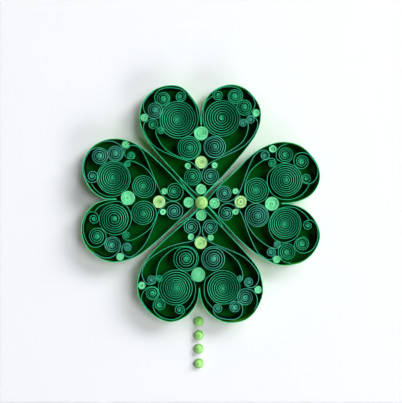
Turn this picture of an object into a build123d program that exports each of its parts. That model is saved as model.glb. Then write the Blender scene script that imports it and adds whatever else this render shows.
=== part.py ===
from build123d import *
import os
from cmath import phase, rect
from math import pi

# Quilled paper clover on a square card, lying flat. +Z is up, and +Y points along the top leaf.
# The origin is the middle of the card's back. All sizes are in millimetres.

# Card and paper
card_side = 250.0
card_thickness = 1.5
base_thickness = 0.3
strip_width = 10.0
strip_thickness = 0.3

# Clearances: between neighbours, inside the fold at the cleft, and under the overlap at the tip
touch_gap = 0.3
fold_gap = 0.15
fold_mouth = 1.2
overlap_gap = 0.12

# Place of the clover's middle on the card
clover_x = 0.2
clover_y = -0.7

# Each leaf's wall is one strip, whose last stretch lies outside its first one as a splayed tab
tip_distance = 2.0
wall_start = 1.4
tab_length = 18.5
tab_splay = 1.0

# Pegs are tightly rolled strips
cleft_peg_radius = 4.3
yellow_peg_radius = 3.8
tip_peg_radius = 3.25
small_peg_radius = 1.9
outer_peg_radius = 2.3
large_peg_facets = 12
small_peg_facets = 8

# The middle and the stem are rolled strips pushed up into domes
centre_dome_radius = 4.0
centre_dome_height = 3.4
stem_coil_radius = 3.0
stem_coil_height = 3.2
dome_rim_height = 1.0
dome_shoulder_radius_share = 0.74
dome_shoulder_rise_share = 0.6
dome_eye_radius = 0.7
dome_facets = 10
stem_x = -1.4
stem_distances = [73.7, 82.2, 90.7, 99.7]

# Coils: turns of strip from the rim to the core, the core's radius, and flat facets in a turn. The
# loops are the three smallest.
coil_turns = {
    "big_coil": 2.7, "middle_coil": 1.8, "tip_coil": 1.2, "crest_coil": 1.1, "side_coil": 1.2,
    "crest_loop": 0.5, "rim_loop": 0.5, "tiny_coil": 0.5,
}
coil_core_radii = {
    "big_coil": 3.0, "middle_coil": 2.4, "tip_coil": 2.0, "crest_coil": 1.5, "side_coil": 2.0,
    "crest_loop": 1.2, "rim_loop": 1.1, "tiny_coil": 0.8,
}
loops = ["crest_loop", "rim_loop", "tiny_coil"]
big_coil_facets = 9
small_coil_facets = 7
loop_facets = 6
settling_turn = 0.5
core_seam = 0.06
core_opening_facets = 1.5

# How finely the free stretches are bent, and how far a bend may cut its corner
spline_steps = 8
clearing_rounds = 3
route_sag = 0.28
sharpest_widening = 5.0
wall_sag = 0.42
base_sag = 0.8

# The five strips of a half leaf: the coil at the start, the free stretch, and the coil at the end
strips = {
    "big_coil": (None, "tail", "big_coil"),
    "crest_scroll": ("crest_coil", "crest", "crest_loop"),
    "side_coil": (None, "side", "side_coil"),
    "long_scroll": ("rim_loop", "long", "tip_coil"),
    "inner_scroll": ("tiny_coil", "inner", "middle_coil"),
}

# Places in a leaf are (outwards from the clover's middle, sideways). In the leaf's own line,
# sideways counts clockwise, and in a half it counts towards that half. A coil has its radius too.
leaves = {
    "top": dict(
        direction=1j, fold=(47.4, -0.1),
        cleft_peg=(42.2, -0.1), yellow_peg=(24.6, -0.1), tip_peg=(8.0, 0.1),
    ),
    "left": dict(
        direction=-1, fold=(52.1, 2.1),
        cleft_peg=(44.7, 2.9), yellow_peg=(25.7, 0.6), tip_peg=(7.7, 0.1),
    ),
    "right": dict(
        direction=1, fold=(49.0, 0.5),
        cleft_peg=(42.9, 0.6), yellow_peg=(23.9, -0.4), tip_peg=(8.1, 0.4),
    ),
    "bottom": dict(
        direction=-1j, fold=(52.4, 1.2),
        cleft_peg=(43.9, 1.8), yellow_peg=(24.4, 0.3), tip_peg=(7.7, 0.0),
    ),
}

halves = {
    "top_left": dict(
        leaf="top", clockwise=False,
        big_coil=(50.7, 14.0, 10.8), middle_coil=(33.3, 7.4, 7.2), tip_coil=(15.8, 5.5, 4.6),
        crest_coil=(63.1, 23.2, 3.8), side_coil=(56.2, 28.3, 4.1), crest_loop=(64.5, 12.6, 2.4),
        rim_loop=(47.6, 29.4, 2.5), tiny_coil=(43.8, 24.7, 1.8),
        outer_peg=(51.5, 34.8), small_peg=(22.4, 8.3),
        tail=[(66.0, 8.4), (64.5, 6.7), (59.9, 3.9), (55.1, 2.6)],
        crest=[(59.1, 24.8), (61.4, 27.7), (64.5, 28.3), (68.0, 25.9), (69.7, 21.4), (68.7, 12.3), (66.2, 9.7),
               (63.1, 9.8)],
        side=[(68.0, 29.6), (65.0, 33.0), (60.9, 35.0), (56.9, 35.1), (53.4, 33.4), (51.2, 29.9)],
        long=[(50.1, 31.7), (48.5, 34.4), (45.0, 35.1), (35.0, 29.3), (27.4, 14.6), (24.3, 5.8), (19.8, 1.4),
              (16.1, 0.1)],
        inner=[(45.8, 25.7), (43.2, 27.7), (33.2, 22.5), (29.2, 16.6), (26.8, 10.5)],
        edge=[(3.9, 1.4), (8.9, 6.9), (34.4, 30.2), (41.4, 34.6), (48.4, 37.1), (55.1, 37.3), (62.6, 34.5),
              (68.5, 28.4), (71.1, 20.2), (69.9, 11.9), (58.4, 2.2), (52.0, 0.7)],
    ),
    "top_right": dict(
        leaf="top", clockwise=True,
        big_coil=(51.4, 12.6, 10.6), middle_coil=(33.8, 8.1, 6.7), tip_coil=(16.1, 5.8, 4.4),
        crest_coil=(64.7, 20.4, 3.6), side_coil=(58.1, 26.2, 4.0), crest_loop=(65.3, 10.1, 2.3),
        rim_loop=(50.6, 29.9, 2.3), tiny_coil=(48.3, 25.4, 1.9),
        outer_peg=(54.5, 33.1), small_peg=(22.8, 8.0),
        tail=[(64.8, 6.7), (61.4, 3.0), (57.5, 1.4), (54.4, 1.4)],
        crest=[(61.7, 17.4), (60.2, 20.5), (61.4, 23.6), (64.6, 25.0), (67.8, 24.1), (70.2, 20.3), (69.3, 9.8),
               (67.1, 7.2), (64.2, 7.2)],
        side=[(66.7, 28.7), (63.8, 31.4), (59.9, 32.6), (55.1, 30.4), (53.1, 26.5)],
        long=[(52.0, 32.0), (49.3, 34.2), (43.8, 33.2), (34.7, 26.2), (22.9, 3.5), (19.2, 1.0)],
        inner=[(49.7, 27.5), (46.7, 28.5), (40.5, 27.1), (35.9, 23.9), (28.0, 11.1)],
        edge=[(5.5, 2.5), (17.5, 14.3), (38.5, 31.3), (43.9, 34.2), (50.2, 35.9), (57.2, 35.7), (63.4, 32.5),
              (69.1, 26.8), (71.6, 19.2), (70.4, 12.0), (66.6, 5.8), (60.8, 1.9), (54.4, 0.3)],
    ),
    "left_upper": dict(
        leaf="left", clockwise=True,
        big_coil=(53.5, 15.1, 9.6), middle_coil=(35.1, 10.1, 6.4), tip_coil=(16.4, 6.9, 4.0),
        crest_coil=(61.8, 28.3, 4.2), side_coil=(52.3, 29.9, 4.4), crest_loop=(66.2, 16.0, 2.4),
        rim_loop=(42.7, 28.5, 2.0), tiny_coil=(44.8, 23.6, 1.6),
        outer_peg=(46.1, 35.4), small_peg=(22.5, 7.0),
        tail=[(66.9, 11.6), (64.3, 8.0), (59.7, 4.7), (54.2, 3.7), (49.0, 5.2), (45.1, 8.6), (43.2, 13.5),
              (43.9, 18.6)],
        crest=[(57.4, 31.1), (60.4, 33.0), (64.8, 33.0), (68.8, 30.2), (71.3, 25.3), (70.4, 15.2), (67.6, 12.4),
               (64.3, 12.7)],
        side=[(59.4, 37.3), (53.6, 37.1), (49.3, 34.8), (47.2, 30.9), (48.4, 27.0)],
        long=[(40.9, 27.0), (44.0, 26.7), (46.4, 28.6), (46.2, 32.2), (43.0, 34.7), (39.0, 34.2), (36.0, 31.4),
              (24.5, 6.3), (21.7, 2.9), (17.5, 1.1), (13.2, 2.1), (11.2, 5.3)],
        inner=[(46.6, 23.9), (44.7, 25.4), (34.9, 21.9), (28.3, 13.4)],
        edge=[(4.4, 2.5), (34.2, 31.8), (45.7, 37.9), (57.8, 38.2), (68.0, 32.0), (72.3, 21.1), (68.2, 9.7),
              (63.8, 5.2), (58.2, 2.5)],
    ),
    "left_lower": dict(
        leaf="left", clockwise=False,
        big_coil=(52.8, 9.9, 8.7), middle_coil=(35.3, 6.6, 6.8), tip_coil=(16.6, 5.2, 3.9),
        crest_coil=(63.4, 20.5, 4.4), side_coil=(54.1, 25.5, 4.4), crest_loop=(65.4, 9.7, 2.1),
        rim_loop=(44.9, 27.1, 1.9), tiny_coil=(45.5, 19.8, 1.7),
        outer_peg=(49.3, 33.1), small_peg=(23.3, 5.7),
        tail=[(64.5, 5.0), (61.4, 2.1), (50.9, -0.8), (46.0, 1.4), (43.0, 6.3)],
        crest=[(59.9, 25.3), (63.7, 27.1), (68.0, 25.7), (71.7, 16.0), (68.8, 6.5), (65.4, 5.6), (62.8, 7.6)],
        side=[(65.8, 30.1), (59.3, 33.4), (53.9, 32.8), (50.4, 29.8), (49.1, 25.9)],
        long=[(42.7, 26.3), (44.7, 24.5), (47.4, 25.6), (48.3, 28.6), (46.9, 31.6), (43.5, 33.0), (35.6, 27.1),
              (27.6, 10.6), (26.2, 6.0), (24.1, 2.6), (20.2, -0.2), (15.4, -0.4), (11.6, 2.9)],
        inner=[(47.6, 20.9), (45.9, 22.6), (42.0, 22.6), (31.5, 16.0), (28.7, 11.5)],
        edge=[(4.4, 2.0), (28.1, 24.2), (40.2, 33.0), (52.4, 36.1), (58.5, 35.1), (64.2, 32.1), (69.2, 27.4),
              (72.1, 21.4), (72.8, 15.7), (71.6, 9.9), (68.6, 4.6), (63.9, 0.5), (58.2, -1.4)],
    ),
    "right_upper": dict(
        leaf="right", clockwise=False,
        big_coil=(51.3, 13.6, 9.4), middle_coil=(33.3, 7.8, 6.6), tip_coil=(14.0, 5.7, 3.9),
        crest_coil=(61.0, 25.0, 3.5), side_coil=(51.0, 29.1, 4.0), crest_loop=(63.7, 14.6, 2.5),
        rim_loop=(38.7, 28.7, 2.4), tiny_coil=(42.9, 24.0, 1.9),
        outer_peg=(43.4, 32.7), small_peg=(20.7, 6.9),
        tail=[(65.6, 11.0), (62.9, 6.7), (58.8, 3.5), (53.4, 1.9), (46.9, 2.7), (42.3, 6.3), (40.0, 12.0),
              (41.0, 18.1), (45.2, 21.9)],
        crest=[(56.2, 26.2), (57.4, 29.1), (61.5, 30.4), (66.8, 28.2), (70.0, 23.6), (70.8, 18.1), (69.0, 13.6),
               (65.5, 11.4), (61.9, 12.3)],
        side=[(52.0, 35.7), (48.3, 34.3), (45.7, 30.9), (45.8, 26.8), (48.7, 24.8)],
        long=[(41.2, 29.6), (39.4, 31.7), (36.0, 31.5), (32.6, 28.8), (29.7, 23.8), (22.6, 5.4), (19.5, 1.9),
              (15.4, 0.5), (11.0, 1.8), (9.3, 5.5)],
        inner=[(45.3, 24.3), (44.1, 26.6), (39.3, 26.4), (29.7, 18.9), (26.2, 7.3), (28.0, 2.3), (32.8, -0.2),
               (37.8, 1.4)],
        edge=[(4.7, 2.8), (8.9, 7.9), (23.4, 21.7), (27.3, 26.0), (36.8, 33.1), (48.4, 36.8), (60.2, 34.4),
              (69.3, 25.3), (71.7, 19.2), (71.7, 13.5), (69.6, 8.3), (65.7, 4.1), (59.9, 1.2), (53.8, -0.1)],
    ),
    "right_lower": dict(
        leaf="right", clockwise=True,
        big_coil=(50.9, 12.9, 8.9), middle_coil=(34.1, 8.1, 6.3), tip_coil=(15.2, 6.3, 3.6),
        crest_coil=(61.2, 25.0, 3.5), side_coil=(52.1, 29.9, 4.2), crest_loop=(64.8, 13.8, 1.8),
        rim_loop=(42.3, 30.2, 2.2), tiny_coil=(45.9, 25.4, 1.7),
        outer_peg=(45.8, 34.6), small_peg=(20.8, 5.5),
        tail=[(65.3, 10.2), (63.1, 7.2), (56.0, 2.9), (46.9, 3.8), (42.9, 7.7), (40.9, 13.2), (42.6, 19.8),
              (47.4, 23.9), (53.2, 23.6), (58.1, 20.4), (60.4, 14.8)],
        crest=[(61.5, 20.8), (57.8, 22.6), (56.5, 26.4), (58.9, 29.9), (63.2, 30.5), (67.6, 28.2), (70.4, 23.1),
               (70.8, 17.3), (69.3, 12.7), (66.0, 10.6), (62.8, 11.6)],
        side=[(54.4, 36.8), (49.7, 35.5), (47.0, 32.2), (47.2, 27.5), (50.4, 25.0)],
        long=[(44.9, 31.3), (43.8, 34.2), (39.9, 34.5), (35.9, 32.5), (29.4, 20.4), (23.9, 5.9), (20.6, 2.1),
              (16.2, 0.4), (12.3, 1.9), (10.5, 5.6)],
        inner=[(47.9, 26.0), (46.1, 27.7), (41.5, 26.9), (31.4, 18.7), (26.7, 8.7), (27.6, 3.7), (31.1, 0.8),
               (35.6, 1.0), (39.6, 4.1)],
        edge=[(6.2, 4.2), (23.5, 22.8), (35.6, 32.5), (47.8, 37.9), (59.6, 36.6), (65.4, 33.1), (69.6, 28.0),
              (71.9, 21.4), (71.3, 15.7), (68.6, 10.2), (64.2, 5.3), (58.7, 2.2), (53.2, 0.9)],
    ),
    "bottom_left": dict(
        leaf="bottom", clockwise=True,
        big_coil=(51.9, 15.5, 10.1), middle_coil=(34.1, 9.4, 7.4), tip_coil=(14.7, 6.1, 3.9),
        crest_coil=(62.0, 25.3, 2.7), side_coil=(55.0, 29.7, 3.9), crest_loop=(65.1, 13.3, 2.2),
        rim_loop=(46.9, 30.3, 2.2), tiny_coil=(45.7, 25.7, 1.3),
        outer_peg=(50.4, 36.5), small_peg=(20.9, 6.4),
        tail=[(65.1, 9.4), (62.3, 6.7), (58.5, 4.6), (53.0, 3.5), (48.4, 4.3), (44.9, 6.6)],
        crest=[(58.5, 25.9), (60.0, 28.5), (63.3, 29.2), (67.1, 27.4), (69.9, 23.6), (71.0, 17.8), (69.4, 13.2),
               (66.3, 10.3), (63.2, 10.9)],
        side=[(66.1, 31.6), (62.5, 35.0), (58.2, 36.4), (53.8, 35.0), (51.2, 31.7), (51.4, 27.9)],
        long=[(48.9, 28.3), (49.6, 31.7), (47.9, 34.4), (43.9, 36.0), (39.0, 35.0), (34.4, 31.7), (27.1, 20.2),
              (24.8, 12.9), (23.5, 6.4), (21.1, 2.6), (16.9, 0.6), (12.3, 1.6)],
        inner=[(47.9, 25.8), (45.7, 27.3), (35.9, 25.2), (28.8, 18.0), (26.9, 13.2), (26.5, 8.6)],
        edge=[(4.4, 2.2), (9.1, 6.9), (31.9, 31.1), (43.9, 37.8), (55.1, 38.5), (65.7, 32.4), (72.1, 21.4),
              (71.9, 15.4), (69.0, 9.3), (64.5, 4.9), (59.1, 2.3)],
    ),
    "bottom_right": dict(
        leaf="bottom", clockwise=False,
        big_coil=(51.8, 13.3, 9.5), middle_coil=(34.1, 7.4, 6.8), tip_coil=(15.0, 5.6, 3.6),
        crest_coil=(63.4, 20.5, 2.8), side_coil=(57.6, 26.8, 4.2), crest_loop=(64.3, 10.1, 2.2),
        rim_loop=(48.2, 28.8, 2.3), tiny_coil=(45.9, 23.6, 1.3),
        outer_peg=(53.0, 34.5), small_peg=(21.2, 5.8),
        tail=[(63.9, 7.0), (60.2, 3.7), (55.4, 1.9), (46.3, 2.9), (41.7, 9.5)],
        crest=[(60.0, 21.4), (61.7, 24.1), (65.0, 25.1), (68.5, 24.0), (70.8, 20.7), (69.7, 10.7), (66.6, 7.5),
               (63.3, 7.5)],
        side=[(64.9, 32.4), (60.9, 33.9), (56.9, 33.6), (53.5, 31.1), (52.3, 27.4)],
        long=[(50.2, 26.9), (51.6, 29.6), (50.6, 32.6), (47.2, 34.7), (42.4, 34.2), (33.2, 26.1), (23.3, 4.4),
              (20.0, 1.4), (16.0, 0.7), (12.2, 1.9)],
        inner=[(47.8, 24.0), (45.3, 25.2), (36.2, 22.4), (28.2, 12.9), (26.6, 7.6)],
        edge=[(4.4, 1.9), (13.8, 11.4), (37.8, 32.9), (43.0, 35.6), (54.8, 37.3), (65.1, 33.2), (69.7, 29.0),
              (72.3, 23.5), (72.1, 12.6), (65.1, 2.9), (59.7, 0.2)],
    ),
}

axis_pegs = ["cleft_peg", "yellow_peg", "tip_peg"]
half_pegs = ["small_peg", "outer_peg"]
peg_radii = {
    "cleft_peg": cleft_peg_radius,
    "yellow_peg": yellow_peg_radius,
    "tip_peg": tip_peg_radius,
    "small_peg": small_peg_radius,
    "outer_peg": outer_peg_radius,
}
peg_facets = {name: large_peg_facets if name in axis_pegs else small_peg_facets for name in peg_radii}

clover_middle = complex(clover_x, clover_y)
base_level = card_thickness
strip_level = base_level + base_thickness
crown_level = strip_level + strip_width


# Plane geometry, with each point as one complex number

def cross(a, b):
    """Positive when b points to the left of a."""
    return (a.conjugate() * b).imag


def smooth(points):
    """A curve through the points. The first and the last point only steer it."""
    path = []
    for a, b, c, d in zip(points, points[1:], points[2:], points[3:]):
        before, across, after = abs(b - a) ** 0.5, abs(c - b) ** 0.5, abs(d - c) ** 0.5
        leaving = (c - b) + across * ((b - a) / before - (c - a) / (before + across))
        arriving = (c - b) + across * ((d - c) / after - (d - b) / (across + after))
        for step in range(spline_steps):
            t = step / spline_steps
            start_share = 2 * t**3 - 3 * t**2 + 1
            leaving_share = t**3 - 2 * t**2 + t
            arriving_share = t**3 - t**2
            position = start_share * b + (1 - start_share) * c
            path.append(position + leaving_share * leaving + arriving_share * arriving)
    return path + [points[-2]]


def thinned(path, sag):
    """Keeps only the points that the path needs to stay within sag of its course."""
    if len(path) < 3:
        return list(path)
    chord = path[-1] - path[0]
    distances = [abs(cross(chord, p - path[0])) / abs(chord) for p in path[1:-1]]
    farthest = max(distances)
    if farthest <= sag:
        return [path[0], path[-1]]
    corner = 1 + distances.index(farthest)
    return thinned(path[: corner + 1], sag)[:-1] + thinned(path[corner:], sag)


def shifted(path, distances):
    """Moves each point of the path to its left by its own distance, square to the path."""
    moved = []
    for i, p in enumerate(path):
        arriving = p - path[i - 1] if i else path[1] - p
        leaving = path[i + 1] - p if i < len(path) - 1 else arriving
        normal = 1j * (arriving / abs(arriving) + leaving / abs(leaving))
        widening = min(2 / abs(normal) ** 2, sharpest_widening)
        moved.append(p + normal * widening * distances[i])
    return moved


def both_sides(path):
    half = strip_thickness / 2
    return shifted(path, [half] * len(path)), shifted(path, [-half] * len(path))


def nearest(path, p):
    """The point of the path that is nearest to p, and the direction of the path there."""
    candidates = []
    for a, b in zip(path, path[1:]):
        along = b - a
        share = min(max(((p - a) * along.conjugate()).real / abs(along) ** 2, 0), 1)
        candidates.append((abs(a + along * share - p), a + along * share, along / abs(along)))
    return min(candidates, key=lambda candidate: candidate[0])[1:]


# Plan of one leaf, which lies along the positive real numbers. Its clockwise half has negative
# imaginary numbers.

def side_of(leaf, clockwise):
    return next(half for half in halves.values() if half["leaf"] == leaf and half["clockwise"] == clockwise)


def place(point, clockwise):
    return complex(point[0], -point[1] if clockwise else point[1])


def stretch(half, name):
    return [place(point, half["clockwise"]) for point in half[name]]


def wall_course(leaf):
    """Middle line of the leaf's wall in three runs: along the clockwise side from the tip, through
    the fold at the cleft, and back along the other side. The inside of the leaf is on its left."""
    fold = place(leaves[leaf]["fold"], True)
    half_fold = (strip_thickness + fold_gap) / 2
    into = [fold + complex(fold_mouth, -half_fold), fold - 1j * half_fold]
    out_of = [fold + 1j * half_fold, fold + complex(fold_mouth, half_fold)]
    tip = complex(tip_distance, 0)
    rising = stretch(side_of(leaf, True), "edge")
    falling = stretch(side_of(leaf, False), "edge")[::-1]
    up = smooth([2 * tip - rising[0], tip, *rising, *into])
    down = smooth([*out_of, *falling, tip, 2 * tip - falling[-1]])
    return thinned(up, wall_sag), [into[1], fold - half_fold, out_of[0]], thinned(down, wall_sag)


def wall_outline(leaf):
    """Outline of the leaf's one strip. It goes on round the tip, and up outside its own start."""
    up, bend, down = wall_course(leaf)
    tip = up[0]
    outwards = (up[1] - tip) / abs(up[1] - tip)
    start = [tip + outwards * wall_start, *up[1:]]
    course = [p for p in up if abs(p - tip) < tab_length]
    course.append(tip + (up[len(course)] - tip) / abs(up[len(course)] - tip) * tab_length)
    lap = strip_thickness + overlap_gap
    tab = shifted(course, [-lap - tab_splay * (abs(p - tip) / tab_length) ** 3 for p in course])
    left, right = both_sides(start + bend + down[:-1] + tab)
    return left + right[::-1]


def base_outline(leaf):
    """The paper heart under the leaf follows the middle line of the leaf's wall."""
    up, bend, down = wall_course(leaf)
    return thinned(up, base_sag) + [bend[1]] + thinned(down, base_sag)[:-1]


def leaf_pegs(leaf, wall):
    """Name, centre and radius of each peg of the leaf, seated clear of the wall."""
    pegs = [(name, place(leaves[leaf][name], True)) for name in axis_pegs]
    for clockwise in (False, True):
        half = side_of(leaf, clockwise)
        pegs += [(name, place(half[name], clockwise)) for name in half_pegs]
    return [(name, kept_inside(centre, peg_radii[name], wall), peg_radii[name]) for name, centre in pegs]


def kept_inside(p, half_size, wall):
    """Moves a point inwards until a piece of this half size stands clear of the wall."""
    foot, along = nearest(wall, p)
    needed = half_size + strip_thickness / 2 + touch_gap
    if cross(along, p - foot) <= 0:
        return foot + 1j * along * needed
    if abs(p - foot) < needed:
        return foot + (p - foot) / abs(p - foot) * needed
    return p


def cleared(p, wall, discs):
    """Moves a point of a strip's middle line until the strip stands clear of its neighbours."""
    for _ in range(clearing_rounds):
        p = kept_inside(p, strip_thickness / 2, wall)
        for centre, radius in discs:
            needed = radius + strip_thickness / 2 + touch_gap
            if abs(p - centre) < needed:
                p = centre + (p - centre) / abs(p - centre) * needed
    return p


def leaf_coils(leaf, wall, pegs):
    """Centre and rim radius of each coil, which opens until it meets a peg or the wall."""
    coils = {}
    for clockwise in (False, True):
        half = side_of(leaf, clockwise)
        for name in coil_turns:
            centre = place(half[name], clockwise)
            wall_room = abs(nearest(wall, centre)[0] - centre) - strip_thickness / 2
            rooms = [abs(peg - centre) - radius for _, peg, radius in pegs]
            coils[clockwise, name] = centre, min(half[name][2], min(wall_room, *rooms) - touch_gap)
    return coils


def facets_in(name):
    if name == "big_coil":
        return big_coil_facets
    return loop_facets if name in loops else small_coil_facets


def wound(name, coil, last, before):
    """Middle line of a coil's turns from the free stretch's last point inwards, and its sense. The
    strip first settles onto the rim, and then winds evenly down to the core."""
    centre, rim = coil
    rim -= strip_thickness / 2
    arm = last - centre
    sense = 1 if cross(arm, last - before) > 0 else -1
    turns = coil_turns[name]
    settling = min(settling_turn, turns / 2)
    count = round(turns * facets_in(name))
    path = []
    for k in range(1, count + 1):
        turned = turns * k / count
        apart = max(1 - turned / settling, 0)
        sunk = max(turned - settling, 0) / (turns - settling)
        above_rim = (abs(arm) - rim) * apart**2 * (3 - 2 * apart)
        radius = rim + above_rim + (coil_core_radii[name] - rim) * sunk
        path.append(centre + rect(radius, phase(arm) + sense * 2 * pi * turned))
    return path, sense


def core_loop(name, centre, start, sense):
    """Goes round the eye just inside the last turn, so that the core of the coil is solid."""
    facets = facets_in(name)
    arm = start - centre
    count = facets - 2
    step = 2 * pi * (facets - core_opening_facets) / facets / count
    shrink = (strip_thickness + core_seam) / count
    return [centre + rect(abs(arm) - shrink * k, phase(arm) + sense * step * k) for k in range(1, count + 1)]


def strip_outline(route, first, last, wall, discs):
    """Outline of a strip. first and last are the name, centre and rim of the coil at that end."""
    ends = []
    for coil, end, before in ((first, route[0], route[1]), (last, route[-1], route[-2])):
        ends.append(wound(coil[0], coil[1:], end, before) if coil else ([2 * end - before], 0))
    (first_turns, first_sense), (last_turns, last_sense) = ends
    middle = [cleared(p, wall, discs) for p in smooth([first_turns[0], *route, last_turns[0]])]
    path = thinned(middle, route_sag) + last_turns
    if first:
        path = first_turns[::-1] + path
    left, right = both_sides(path)
    for coil, sense in ((last, last_sense), (first, first_sense)):
        if coil:
            outer, inner = (right, left) if sense > 0 else (left, right)
            outer += core_loop(coil[0], coil[1], outer[-1], sense)
            inner.pop()
        left, right = right[::-1], left[::-1]
    return left + right[::-1]


def leaf_plan(leaf):
    """Outline of every piece of the leaf, by the name of the piece. Pegs come as lists."""
    up, bend, down = wall_course(leaf)
    wall = up + bend + down
    pegs = leaf_pegs(leaf, wall)
    coils = leaf_coils(leaf, wall, pegs)
    plan = {"leaf_base": base_outline(leaf), "leaf_wall": wall_outline(leaf)}
    for half_name, half in halves.items():
        if half["leaf"] != leaf:
            continue
        for strip, (first, run, last) in strips.items():
            ends = [(end, *coils[half["clockwise"], end]) if end else None for end in (first, last)]
            discs = [(centre, radius) for _, centre, radius in pegs]
            own = [(half["clockwise"], end) for end in (first, last)]
            discs += [coil for key, coil in coils.items() if key not in own]
            plan[f"{half_name}_{strip}"] = strip_outline(stretch(half, run), *ends, wall, discs)
    for number, (name, centre, radius) in enumerate(pegs):
        facets = peg_facets[name]
        plan[f"{name} {number}"] = [centre + rect(radius, 2 * pi * k / facets) for k in range(facets)]
    return plan


# Solids

def on_card(points, leaf):
    """Turns points of a leaf to the leaf's direction, round the clover's middle."""
    return [clover_middle + leaves[leaf]["direction"] * p for p in points]


def standing(outline, level, height):
    """A solid with this outline, from this level upwards."""
    plan = make_face(Polyline(*[(p.real, p.imag) for p in outline], close=True))
    return Pos(0, 0, level) * extrude(plan, amount=height, dir=(0, 0, 1))


def dome(centre, level, radius, height):
    """A rolled strip pushed up in its middle, with a short upright rim."""
    rise = height - dome_rim_height
    profile = [
        (radius, 0),
        (radius, dome_rim_height),
        (radius * dome_shoulder_radius_share, dome_rim_height + rise * dome_shoulder_rise_share),
        (dome_eye_radius, height),
    ]
    middle = Pos(centre.real, centre.imag, level)
    sections = [middle * Pos(0, 0, z) * RegularPolygon(r, dome_facets) for r, z in profile]
    return loft(Sketch() + sections, ruled=True)


def write(name, *solids):
    shape = solids[0] if len(solids) == 1 else Compound(children=list(solids))
    shape.label = name
    export_step(shape, f"parts/{name}.step")


os.makedirs("parts", exist_ok=True)

write("backing_card", Box(card_side, card_side, card_thickness, align=(Align.CENTER, Align.CENTER, Align.MIN)))

pegs = {name: [] for name in peg_radii}
for leaf in leaves:
    for name, outline in leaf_plan(leaf).items():
        outline = on_card(outline, leaf)
        if name == "leaf_base":
            write(f"{leaf}_leaf_base", standing(outline, base_level, base_thickness))
        elif name == "leaf_wall":
            write(f"{leaf}_leaf_wall", standing(outline, strip_level, strip_width))
        elif name.split()[0] in pegs:
            pegs[name.split()[0]].append(standing(outline, strip_level, strip_width))
        else:
            write(name, standing(outline, strip_level, strip_width))
for name, solids in pegs.items():
    write(f"{name}s", *solids)

write("centre_dome", dome(clover_middle, crown_level, centre_dome_radius, centre_dome_height))
stem_centres = [complex(stem_x, clover_y - distance) for distance in stem_distances]
stem = [dome(centre, card_thickness, stem_coil_radius, stem_coil_height) for centre in stem_centres]
write("stem_coils", *stem)
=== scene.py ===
import bpy
import random
from cmath import phase, rect
from math import atan, cos, pi, radians, sin, sqrt, tan, tau
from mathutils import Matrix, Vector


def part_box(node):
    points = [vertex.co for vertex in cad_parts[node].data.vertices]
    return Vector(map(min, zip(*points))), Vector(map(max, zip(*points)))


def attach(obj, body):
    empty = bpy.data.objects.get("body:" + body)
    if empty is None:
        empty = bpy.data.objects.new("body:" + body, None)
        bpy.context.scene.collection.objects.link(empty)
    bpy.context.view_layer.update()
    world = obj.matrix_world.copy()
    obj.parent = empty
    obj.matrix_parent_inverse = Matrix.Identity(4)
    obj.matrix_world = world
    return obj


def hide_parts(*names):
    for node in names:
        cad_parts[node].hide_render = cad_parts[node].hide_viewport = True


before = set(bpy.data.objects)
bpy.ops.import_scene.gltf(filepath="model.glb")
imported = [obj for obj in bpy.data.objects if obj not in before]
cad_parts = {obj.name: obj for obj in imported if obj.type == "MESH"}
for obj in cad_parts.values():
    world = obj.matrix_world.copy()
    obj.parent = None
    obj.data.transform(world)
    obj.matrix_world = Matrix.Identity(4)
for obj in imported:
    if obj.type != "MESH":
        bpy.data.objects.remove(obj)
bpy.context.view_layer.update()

# Quilled paper clover on a square card, seen from straight above. The layout is in millimetres, in
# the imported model's frame, and the meshes are in metres.
mm = 0.001

# Paper strips, and the gaps that are left between them
strip_thickness = 0.3
edge_bevel = 0.05
touch_gap = 0.3
fold_gap = 0.15
fold_mouth = 1.2
overlap_gap = 0.12

# Each leaf's wall. From its start near the tip, its next point is start_spacing times as far out. The
# tab along its outside bends away by tab_splay, and does most of that near its end.
tip_distance = 2.0
wall_start = 1.4
start_spacing = 1.2
tab_length = 18.5
tab_splay = 1.6
tab_ease = 3

# Pegs and domes
peg_radii = {"cleft_peg": 4.3, "yellow_peg": 3.8, "tip_peg": 3.25, "small_peg": 1.9, "outer_peg": 2.3}
axis_pegs = ["cleft_peg", "yellow_peg", "tip_peg"]
half_pegs = ["small_peg", "outer_peg"]
centre_dome_radius = 4.0
stem_coil_radius = 3.0
dome_rim_height = 1.0
stem_x = -1.4
stem_distances = [73.7, 82.2, 90.7, 99.7]
clover_middle = complex(0.2, -0.7)

# Levels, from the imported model
card_low, card_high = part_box("backing_card")
base_low, base_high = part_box("top_leaf_base")
wall_low, wall_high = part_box("top_leaf_wall")
dome_low, dome_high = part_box("centre_dome")
stem_low, stem_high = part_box("stem_coils")

# How finely the strips are drawn. A coil's turn has turn_steps at a radius of turn_steps_radius, and
# fewer where it is smaller.
spline_steps = 10
fold_steps = 6
turn_steps = 40
turn_steps_radius = 4
smallest_turn_steps = 22
sharpest_widening = 5
clearing_rounds = 3
sharp_edge_angle = 35

# The five strips of a half leaf: the coil at the start, the free stretch, and the coil at the end
strips = {
    "big_coil": (None, "tail", "big_coil"),
    "crest_scroll": ("crest_coil", "crest", "crest_loop"),
    "side_coil": (None, "side", "side_coil"),
    "long_scroll": ("rim_loop", "long", "tip_coil"),
    "inner_scroll": ("tiny_coil", "inner", "middle_coil"),
}

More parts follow.
